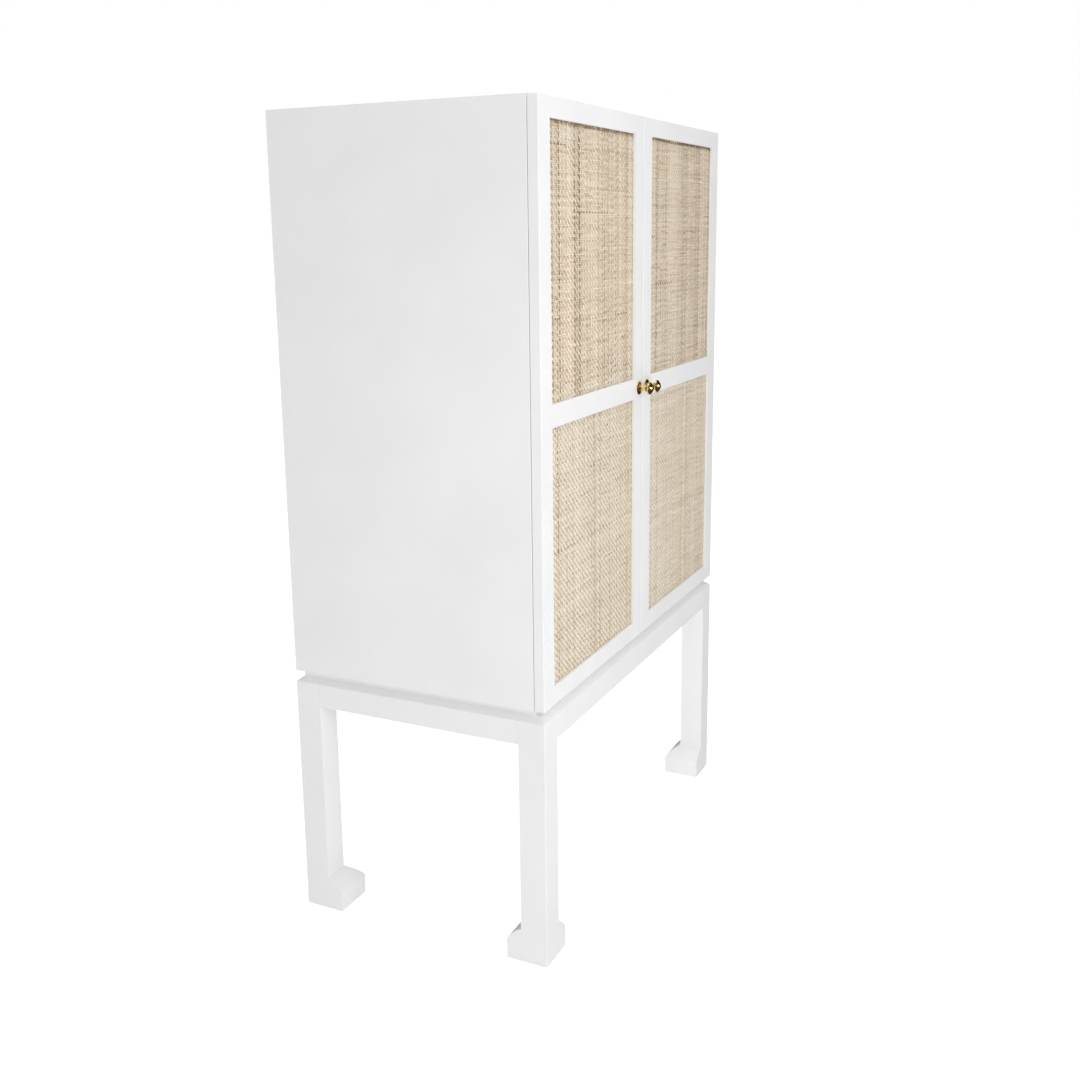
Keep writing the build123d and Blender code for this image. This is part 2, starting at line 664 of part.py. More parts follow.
def panel_beads(opening_z):
    """Four strips that hold one panel into its rebate from the back."""
    outside = REBATE_W - PANEL_PLAY
    whole_x = grown(OPENING_X, outside)
    low = block(whole_x, BEAD_Y, (opening_z[0] - outside, opening_z[0]))
    high = block(whole_x, BEAD_Y, (opening_z[1], opening_z[1] + outside))
    left = block((whole_x[0], OPENING_X[0]), BEAD_Y, opening_z)
    right = block((OPENING_X[1], whole_x[1]), BEAD_Y, opening_z)
    return [low, high, left, right]


def on_knob_axis(profile):
    """Turn a closed outline of radius and distance from the door face about the knob's axis."""
    return Pos(KNOB_X, FACE_Y, MID_RAIL_Z) * revolve(profile, Axis.Y)


def knob_rosette():
    """A flat turned disc with a softened rim and a hole for the screw."""
    front = (KNOB_X, FACE_Y - ROSETTE_T, MID_RAIL_Z)
    disc = rod(ROSETTE_R, (KNOB_X, FACE_Y, MID_RAIL_Z), front)
    disc = fillet(disc.edges().group_by(Axis.Y)[0], 1.4)
    return disc - rod(KNOB_SCREW_R + 0.2, (KNOB_X, FACE_Y, MID_RAIL_Z), front)


def knob():
    """A turned knob: a waisted neck that flares into a domed head."""
    bore = KNOB_SCREW_R + HOLE_PLAY
    base = -ROSETTE_T
    tip = -KNOB_PROJECTION
    back = (10.2, tip + 10.2)
    rim = (11.9, tip + 7.8)
    cap_edge = (10.9, tip + 5.4)
    cap_height = cap_edge[1] - tip
    cap_radius = (cap_edge[0] ** 2 + cap_height**2) / (2 * cap_height)
    half_angle = asin(cap_edge[0] / cap_radius) / 2
    cap_middle = (cap_radius * sin(half_angle), tip + cap_radius * (1 - cos(half_angle)))
    depth = base - KNOB_SCREW_REACH
    with BuildSketch(Plane.XY) as outline:
        with BuildLine():
            Line((0, base), (7.0, base))
            Spline((7.0, base), (5.2, base - 5.5), (5.8, base - 11), back)
            ThreePointArc(back, (11.4, tip + 9.4), rim)
            ThreePointArc(rim, (11.75, tip + 6.5), cap_edge)
            ThreePointArc(cap_edge, cap_middle, (0, tip))
            Line((0, tip), (0, base))
        make_face()
    turned = on_knob_axis(outline.sketch)
    thread_end = (KNOB_X, FACE_Y + depth, MID_RAIL_Z)
    return turned - rod(bore, (KNOB_X, FACE_Y, MID_RAIL_Z), thread_end)


def knob_screw():
    """A machine screw from the back of the stile into the knob."""
    head_y = DOOR_BACK_Y - 3
    tip_y = FACE_Y - ROSETTE_T - KNOB_SCREW_REACH + 0.5
    head = rod(KNOB_SCREW_HEAD_R, (KNOB_X, head_y, MID_RAIL_Z), (KNOB_X, head_y + 2.4, MID_RAIL_Z))
    head = fillet(head.edges().group_by(Axis.Y)[-1], 1.2)
    return head + rod(KNOB_SCREW_R, (KNOB_X, tip_y, MID_RAIL_Z), (KNOB_X, head_y, MID_RAIL_Z))


def strike_place(play):
    """The room that the strike plate takes in the back of the meeting stile."""
    plate_z = grown(CATCH_Z, play - 1)
    return block(grown(STRIKE_X, play), (DOOR_BACK_Y - STRIKE_T - play, DOOR_BACK_Y), plate_z)


def strike_plate():
    """A thin steel plate let into the meeting stile, facing its magnet."""
    return fillet(strike_place(0.0).edges().filter_by(Axis.Y), 2)


def bumper_pads(play):
    """Two soft pads let into the rails, which meet the front edges of the top and the bottom."""
    tip_y = DOOR_BACK_Y + DOOR_GAP - 0.2
    base_y = DOOR_BACK_Y - BUMPER_LET_IN
    heights = (CASE_BOTTOM_Z + BOARD / 2, HEIGHT - BOARD / 2)
    return [rod(BUMPER_R + play, (BUMPER_X, base_y - play, z), (BUMPER_X, tip_y, z)) for z in heights]


def door_pieces():
    """Every node of the left door, by name, as a list of its solids."""
    inside = REBATE_W - PANEL_PLAY
    panel_x = grown(OPENING_X, inside)
    pieces = {
        "hinge_stile": [hinge_stile()],
        "meeting_stile": [meeting_stile()],
    }
    for name, rail in RAILS.items():
        pieces[f"{name}_rail"] = [door_rail(*rail)]
    for name, z in OPENINGS_Z.items():
        pieces[f"{name}_weave"] = [block(panel_x, WEAVE_Y, grown(z, inside))]
    pieces["backers"] = [block(panel_x, BACKER_Y, grown(z, inside)) for z in OPENINGS_Z.values()]
    pieces["panel_beads"] = [bead for z in OPENINGS_Z.values() for bead in panel_beads(z)]
    pieces["hinge_cups"] = [hinge_cup_at(z) for z in HINGE_HEIGHTS]
    pieces["knob"] = [knob()]
    pieces["rosette"] = [knob_rosette()]
    pieces["knob_screw"] = [knob_screw()]
    pieces["strike_plate"] = [strike_plate()]
    pieces["bumpers"] = [chamfer(pad.edges().group_by(Axis.Y)[-1], 0.4) for pad in bumper_pads(0.0)]
    return pieces


def make_doors():
    for name, pieces in door_pieces().items():
        save(f"left_door_{name}", pieces)
        save(f"right_door_{name}", [flip_x(piece) for piece in pieces])


make_case(make_stand())
make_doors()
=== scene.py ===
"""White cabinet on a stand: two doors with woven rattan panels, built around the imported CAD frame."""

import math
from collections import namedtuple

import bpy
import numpy as np
from mathutils import Matrix, Vector


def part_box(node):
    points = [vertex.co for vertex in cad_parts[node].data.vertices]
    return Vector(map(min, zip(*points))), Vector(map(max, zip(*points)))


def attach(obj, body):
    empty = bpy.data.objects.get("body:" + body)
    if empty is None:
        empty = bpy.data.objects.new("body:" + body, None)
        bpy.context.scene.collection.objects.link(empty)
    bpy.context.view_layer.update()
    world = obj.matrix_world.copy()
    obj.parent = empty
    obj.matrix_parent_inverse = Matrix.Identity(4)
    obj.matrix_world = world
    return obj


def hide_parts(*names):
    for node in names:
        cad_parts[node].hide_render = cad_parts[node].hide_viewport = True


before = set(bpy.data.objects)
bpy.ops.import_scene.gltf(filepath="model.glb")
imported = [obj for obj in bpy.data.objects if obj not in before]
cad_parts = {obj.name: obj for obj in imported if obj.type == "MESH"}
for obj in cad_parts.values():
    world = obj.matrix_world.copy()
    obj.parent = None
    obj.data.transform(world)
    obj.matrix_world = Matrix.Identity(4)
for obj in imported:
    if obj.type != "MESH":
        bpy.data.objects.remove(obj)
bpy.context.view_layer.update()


# ---- Camera ----

LENS = 40.0
SENSOR_WIDTH = 36.0
SHIFT_Y = -0.055
CAMERA_PLACE = Vector((-2.1784, -1.0692, 1.2790))
CAMERA_YAW = 0.4491
CAMERA_PITCH = 0.2037
CAMERA_ROLL = -0.0112


def make_camera():
    """A camera to the left of the cabinet and in front of it, looking a little down."""
    forward = Vector((math.cos(CAMERA_YAW), math.sin(CAMERA_YAW), 0.0)) * math.cos(CAMERA_PITCH)
    forward.z = -math.sin(CAMERA_PITCH)
    right = Vector((math.sin(CAMERA_YAW), -math.cos(CAMERA_YAW), 0.0))
    up = right.cross(forward)
    rolled_right = right * math.cos(CAMERA_ROLL) + up * math.sin(CAMERA_ROLL)
    rolled_up = up * math.cos(CAMERA_ROLL) - right * math.sin(CAMERA_ROLL)
    turn = Matrix((rolled_right, rolled_up, -forward)).transposed()
    data = bpy.data.cameras.new("camera")
    data.lens = LENS
    data.sensor_width = SENSOR_WIDTH
    data.shift_y = SHIFT_Y
    camera = bpy.data.objects.new("camera", data)
    camera.matrix_world = Matrix.Translation(CAMERA_PLACE) @ turn.to_4x4()
    bpy.context.scene.collection.objects.link(camera)
    bpy.context.scene.camera = camera


# ---- Node helpers ----


def new_material(name):
    """A new material, its node tree and its Principled shader."""
    material = bpy.data.materials.new(name)
    material.use_nodes = True
    return material, material.node_tree, material.node_tree.nodes["Principled BSDF"]


def set_inputs(tree, node, inputs):
    """Set each named input of a node, or link it where the value is another node's output."""
    for name, value in inputs.items():
        if isinstance(value, bpy.types.NodeSocket):
            tree.links.new(value, node.inputs[name])
        else:
            node.inputs[name].default_value = value


def add_node(tree, kind, settings=None, inputs=None):
    """A node with its properties set, and its inputs set or linked."""
    node = tree.nodes.new(kind)
    for name, value in (settings or {}).items():
        setattr(node, name, value)
    set_inputs(tree, node, inputs or {})
    return node


def object_place(tree, scale=(1.0, 1.0, 1.0)):
    """The point in metres, in the object's own frame, stretched by scale."""
    coordinates = add_node(tree, "ShaderNodeTexCoord")
    inputs = {"Vector": coordinates.outputs["Object"], "Scale": scale}
    return add_node(tree, "ShaderNodeMapping", inputs=inputs).outputs["Vector"]


def noise(tree, vector, scale, detail=2.0, roughness=0.5):
    """A noise value from 0 to 1 with about scale waves in a metre."""
    inputs = {"Vector": vector, "Scale": scale, "Detail": detail, "Roughness": roughness}
    return add_node(tree, "ShaderNodeTexNoise", inputs=inputs).outputs["Fac"]


def ramp(tree, factor, stops):
    """A colour along a factor, from stops of (place, (r, g, b))."""
    node = add_node(tree, "ShaderNodeValToRGB", inputs={"Fac": factor})
    elements = node.color_ramp.elements
    for _ in range(len(stops) - 2):
        elements.new(0.5)
    for element, (place, colour) in zip(elements, stops):
        element.position = place
        element.color = (*colour, 1.0)
    return node.outputs["Color"]


def spread(tree, factor, low, high):
    """A factor from 0 to 1 mapped to low to high."""
    inputs = {"Value": factor, "To Min": low, "To Max": high}
    return add_node(tree, "ShaderNodeMapRange", inputs=inputs).outputs["Result"]


def maths(tree, operation, first, second=0.0):
    """One arithmetic step, of one value or two."""
    node = add_node(tree, "ShaderNodeMath", {"operation": operation}, {0: first, 1: second})
    return node.outputs["Value"]


def varied(tree, value, factor, amount):
    """A value moved up where the factor is over a half, and down where it is under."""
    change = maths(tree, "MULTIPLY", maths(tree, "SUBTRACT", factor, 0.5), amount)
    return maths(tree, "ADD", value, change)


def tinted(tree, colour, factor, amount):
    """A colour made darker by up to amount where the factor is low."""
    shade = spread(tree, factor, 1.0 - amount, 1.0)
    node = add_node(tree, "ShaderNodeVectorMath", {"operation": "SCALE"}, {0: colour, "Scale": shade})
    return node.outputs["Vector"]


def bump(tree, height, distance, strength=1.0, normal=None):
    """A surface normal from a height from 0 to 1 that stands for distance metres."""
    inputs = {"Height": height, "Distance": distance, "Strength": strength}
    if normal is not None:
        inputs["Normal"] = normal
    return add_node(tree, "ShaderNodeBump", inputs=inputs).outputs["Normal"]


# ---- Materials ----

FIBRE_SHARE = 0.42  # how much the fibres change a strand's shade
SPECK_SHARE = 0.25  # and how much the specks of bark do
TOOL_RINGS = 14000.0  # the brass's rings, in radians for each metre out from the axis


def white_lacquer():
    """Sprayed satin lacquer: a faint cloudiness, orange peel, and the ghost of the board's grain."""
    material, tree, shader = new_material("white_lacquer_finish")
    place = object_place(tree)
    cloud = noise(tree, place, scale=7.0, detail=3.0)
    peel = noise(tree, place, scale=620.0, detail=2.0)
    dust = noise(tree, place, scale=2600.0, detail=1.0)
    grain = noise(tree, object_place(tree, (260.0, 260.0, 9.0)), scale=1.0, detail=3.0)
    colour = ramp(tree, cloud, [(0.3, (0.85, 0.85, 0.855)), (0.7, (0.88, 0.88, 0.88))])
    roughness = spread(tree, cloud, 0.30, 0.42)
    normal = bump(tree, grain, distance=0.00003, strength=0.5)
    normal = bump(tree, peel, distance=0.00006, strength=0.6, normal=normal)
    normal = bump(tree, dust, distance=0.00001, strength=0.5, normal=normal)
    inputs = {"Base Color": colour, "Roughness": roughness, "Normal": normal, "Coat Weight": 0.15}
    set_inputs(tree, shader, {**inputs, "Coat Roughness": 0.12, "IOR": 1.48})
    return material


def woven_rattan():
    """Natural rattan peel: each strand's own shade, with fine fibres along it and specks of bark."""
    material, tree, shader = new_material("woven_rattan_finish")
    tone = add_node(tree, "ShaderNodeAttribute", {"attribute_name": "tone"}).outputs["Fac"]
    fibre_place = add_node(tree, "ShaderNodeAttribute", {"attribute_name": "fibre"}).outputs["Vector"]
    stretch = {"Vector": fibre_place, "Scale": (2400.0, 55.0, 1.0)}
    along = add_node(tree, "ShaderNodeMapping", inputs=stretch).outputs["Vector"]
    fibres = noise(tree, along, scale=1.0, detail=3.0, roughness=0.6)
    specks = noise(tree, object_place(tree), scale=520.0, detail=3.0, roughness=0.7)
    shade = varied(tree, tone, fibres, FIBRE_SHARE)
    shade = varied(tree, shade, specks, SPECK_SHARE)
    stops = [
        (0.0, (0.20, 0.125, 0.062)),
        (0.25, (0.44, 0.325, 0.205)),
        (0.5, (0.69, 0.565, 0.405)),
        (0.75, (0.81, 0.70, 0.55)),
        (1.0, (0.90, 0.82, 0.69)),
    ]
    colour = ramp(tree, shade, stops)
    roughness = spread(tree, fibres, 0.62, 0.40)
    normal = bump(tree, fibres, distance=0.00012, strength=0.8)
    inputs = {"Base Color": colour, "Roughness": roughness, "Normal": normal, "Sheen Weight": 0.12}
    set_inputs(tree, shader, {**inputs, "Sheen Roughness": 0.4, "Specular IOR Level": 0.4})
    return material


def backer_board():
    """Stained fibreboard: short pressed fibres in two browns."""
    material, tree, shader = new_material("backer_board_finish")
    place = object_place(tree)
    fibre = noise(tree, place, scale=420.0, detail=4.0, roughness=0.75)
    patch = noise(tree, place, scale=30.0, detail=2.0)
    stops = [(0.3, (0.045, 0.029, 0.016)), (0.5, (0.11, 0.073, 0.042)), (0.7, (0.20, 0.14, 0.085))]
    colour = tinted(tree, ramp(tree, fibre, stops), patch, 0.25)
    normal = bump(tree, fibre, distance=0.00008, strength=0.7)
    roughness = spread(tree, fibre, 0.85, 0.65)
    set_inputs(tree, shader, {"Base Color": colour, "Roughness": roughness, "Normal": normal})
    return material


def polished_brass():
    """Turned and polished brass: faint tool rings about each knob's axis, and a little tarnish."""
    material, tree, shader = new_material("polished_brass_finish")
    low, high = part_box("left_door_knob")
    axis_x = abs(low.x + high.x) / 2
    axis_z = (low.z + high.z) / 2
    split = add_node(tree, "ShaderNodeSeparateXYZ", inputs={"Vector": object_place(tree)})
    across = maths(tree, "SUBTRACT", maths(tree, "ABSOLUTE", split.outputs["X"]), axis_x)
    up = maths(tree, "SUBTRACT", split.outputs["Z"], axis_z)
    across_squared = maths(tree, "MULTIPLY", across, across)
    up_squared = maths(tree, "MULTIPLY", up, up)
    reach = maths(tree, "SQRT", maths(tree, "ADD", across_squared, up_squared))
    rings = maths(tree, "SINE", maths(tree, "MULTIPLY", reach, TOOL_RINGS))
    tarnish = noise(tree, object_place(tree), scale=260.0, detail=4.0, roughness=0.65)
    wipe = noise(tree, object_place(tree, (1200.0, 200.0, 1200.0)), scale=1.0, detail=2.0)
    stops = [(0.3, (0.70, 0.47, 0.17)), (0.5, (0.88, 0.64, 0.27)), (0.75, (0.97, 0.75, 0.36))]
    colour = ramp(tree, tarnish, stops)
    roughness = spread(tree, maths(tree, "MULTIPLY", tarnish, wipe), 0.26, 0.07)
    normal = bump(tree, rings, distance=0.000002, strength=0.4)
    normal = bump(tree, wipe, distance=0.000006, strength=0.4, normal=normal)
    inputs = {"Base Color": colour, "Metallic": 1.0, "Roughness": roughness, "Normal": normal}
    set_inputs(tree, shader, inputs)
    return material


def plated_steel(name, dark, light, brush):
    """Plated steel: a fine brushed grain and slightly uneven plating."""
    material, tree, shader = new_material(name)
    lines = noise(tree, object_place(tree, brush), scale=1.0, detail=2.0)
    patch = noise(tree, object_place(tree), scale=160.0, detail=3.0)
    colour = tinted(tree, ramp(tree, lines, [(0.3, dark), (0.7, light)]), patch, 0.12)
    normal = bump(tree, lines, distance=0.00001, strength=0.5)
    inputs = {"Base Color": colour, "Metallic": 0.6, "Roughness": spread(tree, patch, 0.28, 0.42)}
    set_inputs(tree, shader, {**inputs, "Normal": normal})
    return material


def hinge_steel():
    """Nickel plate, brushed along the arms."""
    dark = (0.62, 0.61, 0.59)
    light = (0.80, 0.79, 0.76)
    return plated_steel("hinge_steel_finish", dark, light, brush=(3000.0, 120.0, 3000.0))


def zinc_steel():
    """Bright zinc plate, rolled across."""
    dark = (0.58, 0.60, 0.63)
    light = (0.76, 0.78, 0.81)
    return plated_steel("zinc_steel_finish", dark, light, brush=(900.0, 900.0, 2600.0))


def magnet():
    """Dark ground ferrite with pale specks."""
    material, tree, shader = new_material("magnet_finish")
    speck = noise(tree, object_place(tree), scale=2200.0, detail=3.0, roughness=0.7)
    colour = ramp(tree, speck, [(0.35, (0.028, 0.028, 0.03)), (0.72, (0.075, 0.073, 0.075))])
    normal = bump(tree, speck, distance=0.00004, strength=0.6)
    inputs = {"Base Color": colour, "Metallic": 0.4, "Roughness": spread(tree, speck, 0.6, 0.4)}
    set_inputs(tree, shader, {**inputs, "Normal": normal})
    return material


def moulded(name, dark, light, roughness, grain):
    """Moulded plastic or rubber: a fine spark-eroded texture and faint flow marks."""
    material, tree, shader = new_material(name)
    place = object_place(tree)
    texture = noise(tree, place, scale=grain, detail=2.0, roughness=0.6)
    flow = noise(tree, object_place(tree, (90.0, 20.0, 60.0)), scale=1.0, detail=2.0)
    colour = ramp(tree, flow, [(0.3, dark), (0.7, light)])
    normal = bump(tree, texture, distance=0.00003, strength=0.6)
    inputs = {"Base Color": colour, "Roughness": spread(tree, texture, roughness[0], roughness[1])}
    set_inputs(tree, shader, {**inputs, "Normal": normal})
    return material


def catch_plastic():
    """Off-white catch housing."""
    return moulded("catch_plastic_finish", (0.70, 0.70, 0.67), (0.77, 0.77, 0.745), (0.42, 0.55), 2400.0)


def glide_nylon():
    """Greyish nylon glides, scuffed."""
    return moulded("glide_nylon_finish", (0.52, 0.51, 0.47), (0.62, 0.61, 0.57), (0.38, 0.6), 1500.0)


def bumper_rubber():
    """Soft clear bumper pads."""
    return moulded("bumper_rubber_finish", (0.60, 0.60, 0.57), (0.70, 0.70, 0.67), (0.55, 0.7), 1900.0)


def bare_beech():
    """Unfinished beech: pale streaks with short dark ray flecks."""
    material, tree, shader = new_material("bare_beech_finish")
    streaks = noise(tree, object_place(tree, (40.0, 40.0, 420.0)), scale=1.0, detail=4.0, roughness=0.6)
    flecks = noise(tree, object_place(tree, (380.0, 380.0, 1500.0)), scale=1.0, detail=1.0)
    stops = [(0.3, (0.44, 0.28, 0.16)), (0.5, (0.56, 0.385, 0.24)), (0.75, (0.66, 0.49, 0.33))]
    dark_flecks = spread(tree, flecks, 0.35, 1.15)
    colour = tinted(tree, ramp(tree, streaks, stops), dark_flecks, 0.22)
    normal = bump(tree, flecks, distance=0.00005, strength=0.6)
    roughness = spread(tree, streaks, 0.7, 0.58)
    set_inputs(tree, shader, {"Base Color": colour, "Roughness": roughness, "Normal": normal})
    return material


FINISHES = {
    "white_lacquer": white_lacquer,
    "woven_rattan": woven_rattan,
    "backer_board": backer_board,
    "polished_brass": polished_brass,
    "hinge_steel": hinge_steel,
    "zinc_steel": zinc_steel,
    "magnet": magnet,
    "catch_plastic": catch_plastic,
    "glide_nylon": glide_nylon,
    "bumper_rubber": bumper_rubber,
    "bare_beech": bare_beech,
}


def finish_cad_nodes(materials):
    """Give every CAD node the detailed finish of its material slot."""
    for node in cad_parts.values():
        for slot in node.material_slots:
            slot.material = materials[slot.material.name.split(".")[0]]


# ---- Woven panels ----

# Each direction's pitch, how far a strand drifts off its place, the least and greatest share of the
# pitch that its width fills, how many crossings a strip of peel runs before the next begins, and how
# much the tone differs from strand to strand and from strip to strip
Direction = namedtuple("Direction", "pitch drift fill run own_spread strip_spread")
WARP = Direction(0.0033, 0.0004, (0.65, 0.96), 60.0, 0.13, 0.08)
WEFT = Direction(0.0030, 0.0003, (0.67, 0.97), 7.0, 0.03, 0.09)

STRAND_RISE = 0.00040
STRAND_CROWN = 0.00022
STRAND_WANDER = 0.00003  # how far a strand strays between one crossing and the next
TWILL = 4
BAND = 5  # how many neighbours share a band of tone
BAND_SHARE = 0.7
GRIT = 0.03  # how much the tone differs from crossing to crossing
FIBRE_STEP = 0.0371  # sets neighbouring strands on different fibres of the noise
TUCKED = 0.0095  # how far the webbing runs on behind the frame
LIP_SHADOW_HEIGHT = 0.007  # height of the painted shadow line that the frame's lip casts on the webbing's top edge


def strip_tones(random, strands, crossings, direction, streaks, middle):
    """Shade along each strand: its own tone, and a new tone where each fresh strip begins."""
    own_spread = direction.own_spread * streaks
    strip_spread = direction.strip_spread * streaks
    own = random.normal(0.0, own_spread, (strands, 1))
    neighbours = random.normal(0.0, own_spread, strands + BAND - 1)
    band = np.convolve(neighbours, np.ones(BAND) / BAND**0.5, "valid")
    begins = random.random((strands, crossings)) < 1.0 / direction.run
    strips = np.cumsum(begins, axis=1)
    tones = random.normal(0.0, strip_spread, (strands, crossings + 1))
    grit = random.normal(0.0, GRIT, (strands, crossings))
    own_and_band = middle + own + band[:, None] * BAND_SHARE
    return own_and_band + np.take_along_axis(tones, strips, axis=1) + grit


def strand_sheet(middles, ends, lift, widths, tones):
    """Crowned strips side by side: points in (across, along, out), quads, tones and fibre places.

    middles is where each strand runs at each crossing, and ends holds the crossings' places along it.
    """
    strands, crossings = middles.shape
    sides = np.array([-0.5, 0.0, 0.5])
    across = middles[:, :, None] + widths[:, :, None] * sides
    along = np.broadcast_to(ends[None, :, None], across.shape)
    crown = np.array([0.0, STRAND_CROWN, 0.0])
    out = lift[:, :, None] + crown
    points = np.stack([across, along, out], axis=-1).reshape(-1, 3)
    number = np.arange(strands * crossings * 3).reshape(strands, crossings, 3)
    a = number[:, :-1, :-1].ravel()
    b = number[:, :-1, 1:].ravel()
    c = number[:, 1:, 1:].ravel()
    d = number[:, 1:, :-1].ravel()
    quads = np.stack([a, b, c, d], axis=-1)
    shades = np.repeat(tones.ravel(), 3)
    offset = np.arange(strands)[:, None, None] * FIBRE_STEP
    across_fibre = across - middles[:, :, None] + offset
    fibre = np.stack([across_fibre, along, np.zeros_like(across)], axis=-1).reshape(-1, 3)
    return points, quads, shades, fibre


def strand_set(random, direction, places, ends, lift, streaks, shade, painted_lip_shadow):
    """One direction's strands: they run at places and cross the others at ends; a painted lip shadow
    darkens them.
    """
    strands, crossings = len(places), len(ends)
    wander = np.cumsum(random.normal(0.0, STRAND_WANDER, (strands, crossings)), axis=1)
    wander -= wander.mean(axis=1, keepdims=True)
    middles = places[:, None] + np.clip(wander, -direction.drift, direction.drift)
    fill = random.uniform(*direction.fill, (strands, 1))
    widths = direction.pitch * fill * np.ones((1, crossings))
    # painted shade: the tone is lowered where the frame's lip shades the strands
    tones = strip_tones(random, strands, crossings, direction, streaks, shade) - painted_lip_shadow
    return strand_sheet(middles, ends, lift, widths, tones)


def woven_panel(node, body, seed, streaks, diagonal, shade, painted_lip_shadow, material):
    """Real crossing strands of peel in the place that the CAD keeps for the webbing."""
    low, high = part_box(node)
    random = np.random.default_rng(seed)
    warps = int((high.x - low.x) / WARP.pitch)
    wefts = int((high.z - low.z) / WEFT.pitch)
    xs = low.x + (np.arange(warps) + 0.5) * (high.x - low.x) / warps
    zs = low.z + (np.arange(wefts) + 0.5) * (high.z - low.z) / wefts
    column = np.arange(warps)[:, None]
    row = np.arange(wefts)[None, :]
    over = np.where((column + row) % TWILL < TWILL / 2, 1.0, -1.0)
    lift = over * STRAND_RISE
    middle_y = (low.y + high.y) / 2
    # Painted shadow of the frame's top lip: a dark band on the strands just below where they tuck behind
    # the frame
    lip_shadow_start = high.z - TUCKED - LIP_SHADOW_HEIGHT
    painted_lip_shadows = painted_lip_shadow * np.clip(2.0 * (zs - lip_shadow_start) / LIP_SHADOW_HEIGHT, 0.0, 1.0)

    warp = strand_set(random, WARP, xs, zs, lift, streaks, shade + diagonal, painted_lip_shadows[None, :])
    weft = strand_set(random, WEFT, zs, xs, -lift.T, streaks, shade - diagonal, painted_lip_shadows[:, None])
    warp_points = np.stack([warp[0][:, 0], middle_y - warp[0][:, 2], warp[0][:, 1]], axis=-1)
    weft_points = np.stack([weft[0][:, 1], middle_y - weft[0][:, 2], weft[0][:, 0]], axis=-1)
    points = np.concatenate([warp_points, weft_points])
    quads = np.concatenate([warp[1], weft[1][:, ::-1] + len(warp_points)])
    tones = np.clip(np.concatenate([warp[2], weft[2]]), 0.0, 1.0)
    fibre = np.concatenate([warp[3], weft[3]])

    mesh = bpy.data.meshes.new(node + "_strands")
    mesh.from_pydata(points.tolist(), [], quads.tolist())
    mesh.attributes.new("tone", "FLOAT", "POINT").data.foreach_set("value", tones)
    mesh.attributes.new("fibre", "FLOAT_VECTOR", "POINT").data.foreach_set("vector", fibre.ravel())
    mesh.shade_smooth()
    mesh.materials.append(material)
    piece = bpy.data.objects.new(node + "_strands", mesh)
    bpy.context.scene.collection.objects.link(piece)
    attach(piece, body)
    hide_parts(node)


# ---- Knobs ----

TURNING_STEPS = 128
DOME_STEPS = 25
ROSETTE_STEPS = 6


def smooth_run(points, steps=8):
    """A Catmull-Rom run through points of (radius, out from the door face)."""
    points = [np.array(p) for p in points]
    padded = [2 * points[0] - points[1], *points, 2 * points[-1] - points[-2]]
    run = []
    for before, start, end, after in zip(padded, padded[1:], padded[2:], padded[3:]):
        for step in range(steps):
            t = step / steps
            bend = (2 * before - 5 * start + 4 * end - after) * t**2
            twist = (3 * start - before - 3 * end + after) * t**3
            run.append(0.5 * (2 * start + (end - before) * t + bend + twist))
    run.append(points[-1])
    return run


def turned_piece(name, door, node, profile, material):
    """Spin a profile of (radius, out from the door face), in metres, about the knob's axis."""
    low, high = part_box(node)
    face_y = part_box(door + "_rosette")[1].y
    middle = Vector(((low.x + high.x) / 2, face_y, (low.z + high.z) / 2))
    angles = np.arange(TURNING_STEPS) * 2 * math.pi / TURNING_STEPS
    points = []
    for radius, out in profile:
        for angle in angles:
            x = middle.x + radius * math.cos(angle)
            z = middle.z + radius * math.sin(angle)
            points.append((x, middle.y - out, z))
    faces = []
    for ring in range(len(profile) - 1):
        for step in range(TURNING_STEPS):
            after = (step + 1) % TURNING_STEPS
            first, second = ring * TURNING_STEPS, (ring + 1) * TURNING_STEPS
            faces.append((first + step, first + after, second + after, second + step))
    points.append((middle.x, middle.y - profile[-1][1], middle.z))
    last = (len(profile) - 1) * TURNING_STEPS
    for step in range(TURNING_STEPS):
        faces.append((last + step, last + (step + 1) % TURNING_STEPS, len(points) - 1))
    mesh = bpy.data.meshes.new(name)
    mesh.from_pydata(points, [], faces)
    mesh.shade_smooth()
    mesh.materials.append(material)
    piece = bpy.data.objects.new(name, mesh)
    bpy.context.scene.collection.objects.link(piece)
    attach(piece, door)
    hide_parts(node)


def knob_profile():
    """A foot bead, a waisted neck, and a domed head with a turned line round its rim."""
    base = 0.0025  # the rosette's face
    tip = 0.0300
    foot = [(0.0066, base), (0.0071, base + 0.0006), (0.0070, base + 0.0014), (0.0064, base + 0.0019)]
    neck = [
        foot[-1],
        (0.0057, base + 0.0030),
        (0.0052, base + 0.0060),
        (0.0053, base + 0.0092),
        (0.0060, base + 0.0122),
        (0.0077, base + 0.0151),
        (0.0101, base + 0.0172),
    ]
    rim = [
        neck[-1],
        (0.0113, tip - 0.0095),
        (0.01185, tip - 0.0082),
        (0.01180, tip - 0.0068),
        (0.0111, tip - 0.0057),
    ]
    line = [rim[-1], (0.0108, tip - 0.0057), (0.0105, tip - 0.0053)]
    reach, rise = 0.0105, 0.0053
    dome = []
    for step in range(1, DOME_STEPS):
        radius = reach * (1 - step / DOME_STEPS)
        dome.append(np.array((radius, tip - rise * (radius / reach) ** 2)))
    outline = smooth_run(foot, 5) + smooth_run(neck)[1:]
    outline += smooth_run(rim, 6)[1:] + smooth_run(line, 3)[1:]
    return outline + dome


def rosette_profile():
    """A thin disc with a rounded rim and a shallow step."""
    rim = [(0.0122, 0.0), (0.01268, 0.0005), (0.01268, 0.0012), (0.0122, 0.0018), (0.0113, 0.0020)]
    step = [rim[-1], (0.0107, 0.0019), (0.0103, 0.0021), (0.0098, 0.0025)]
    reach, face = step[-1]
    flat = [np.array((reach - reach * i / ROSETTE_STEPS, face)) for i in range(1, ROSETTE_STEPS)]
    return smooth_run(rim, 5) + smooth_run(step, 4)[1:] + flat


# ---- Studio ----

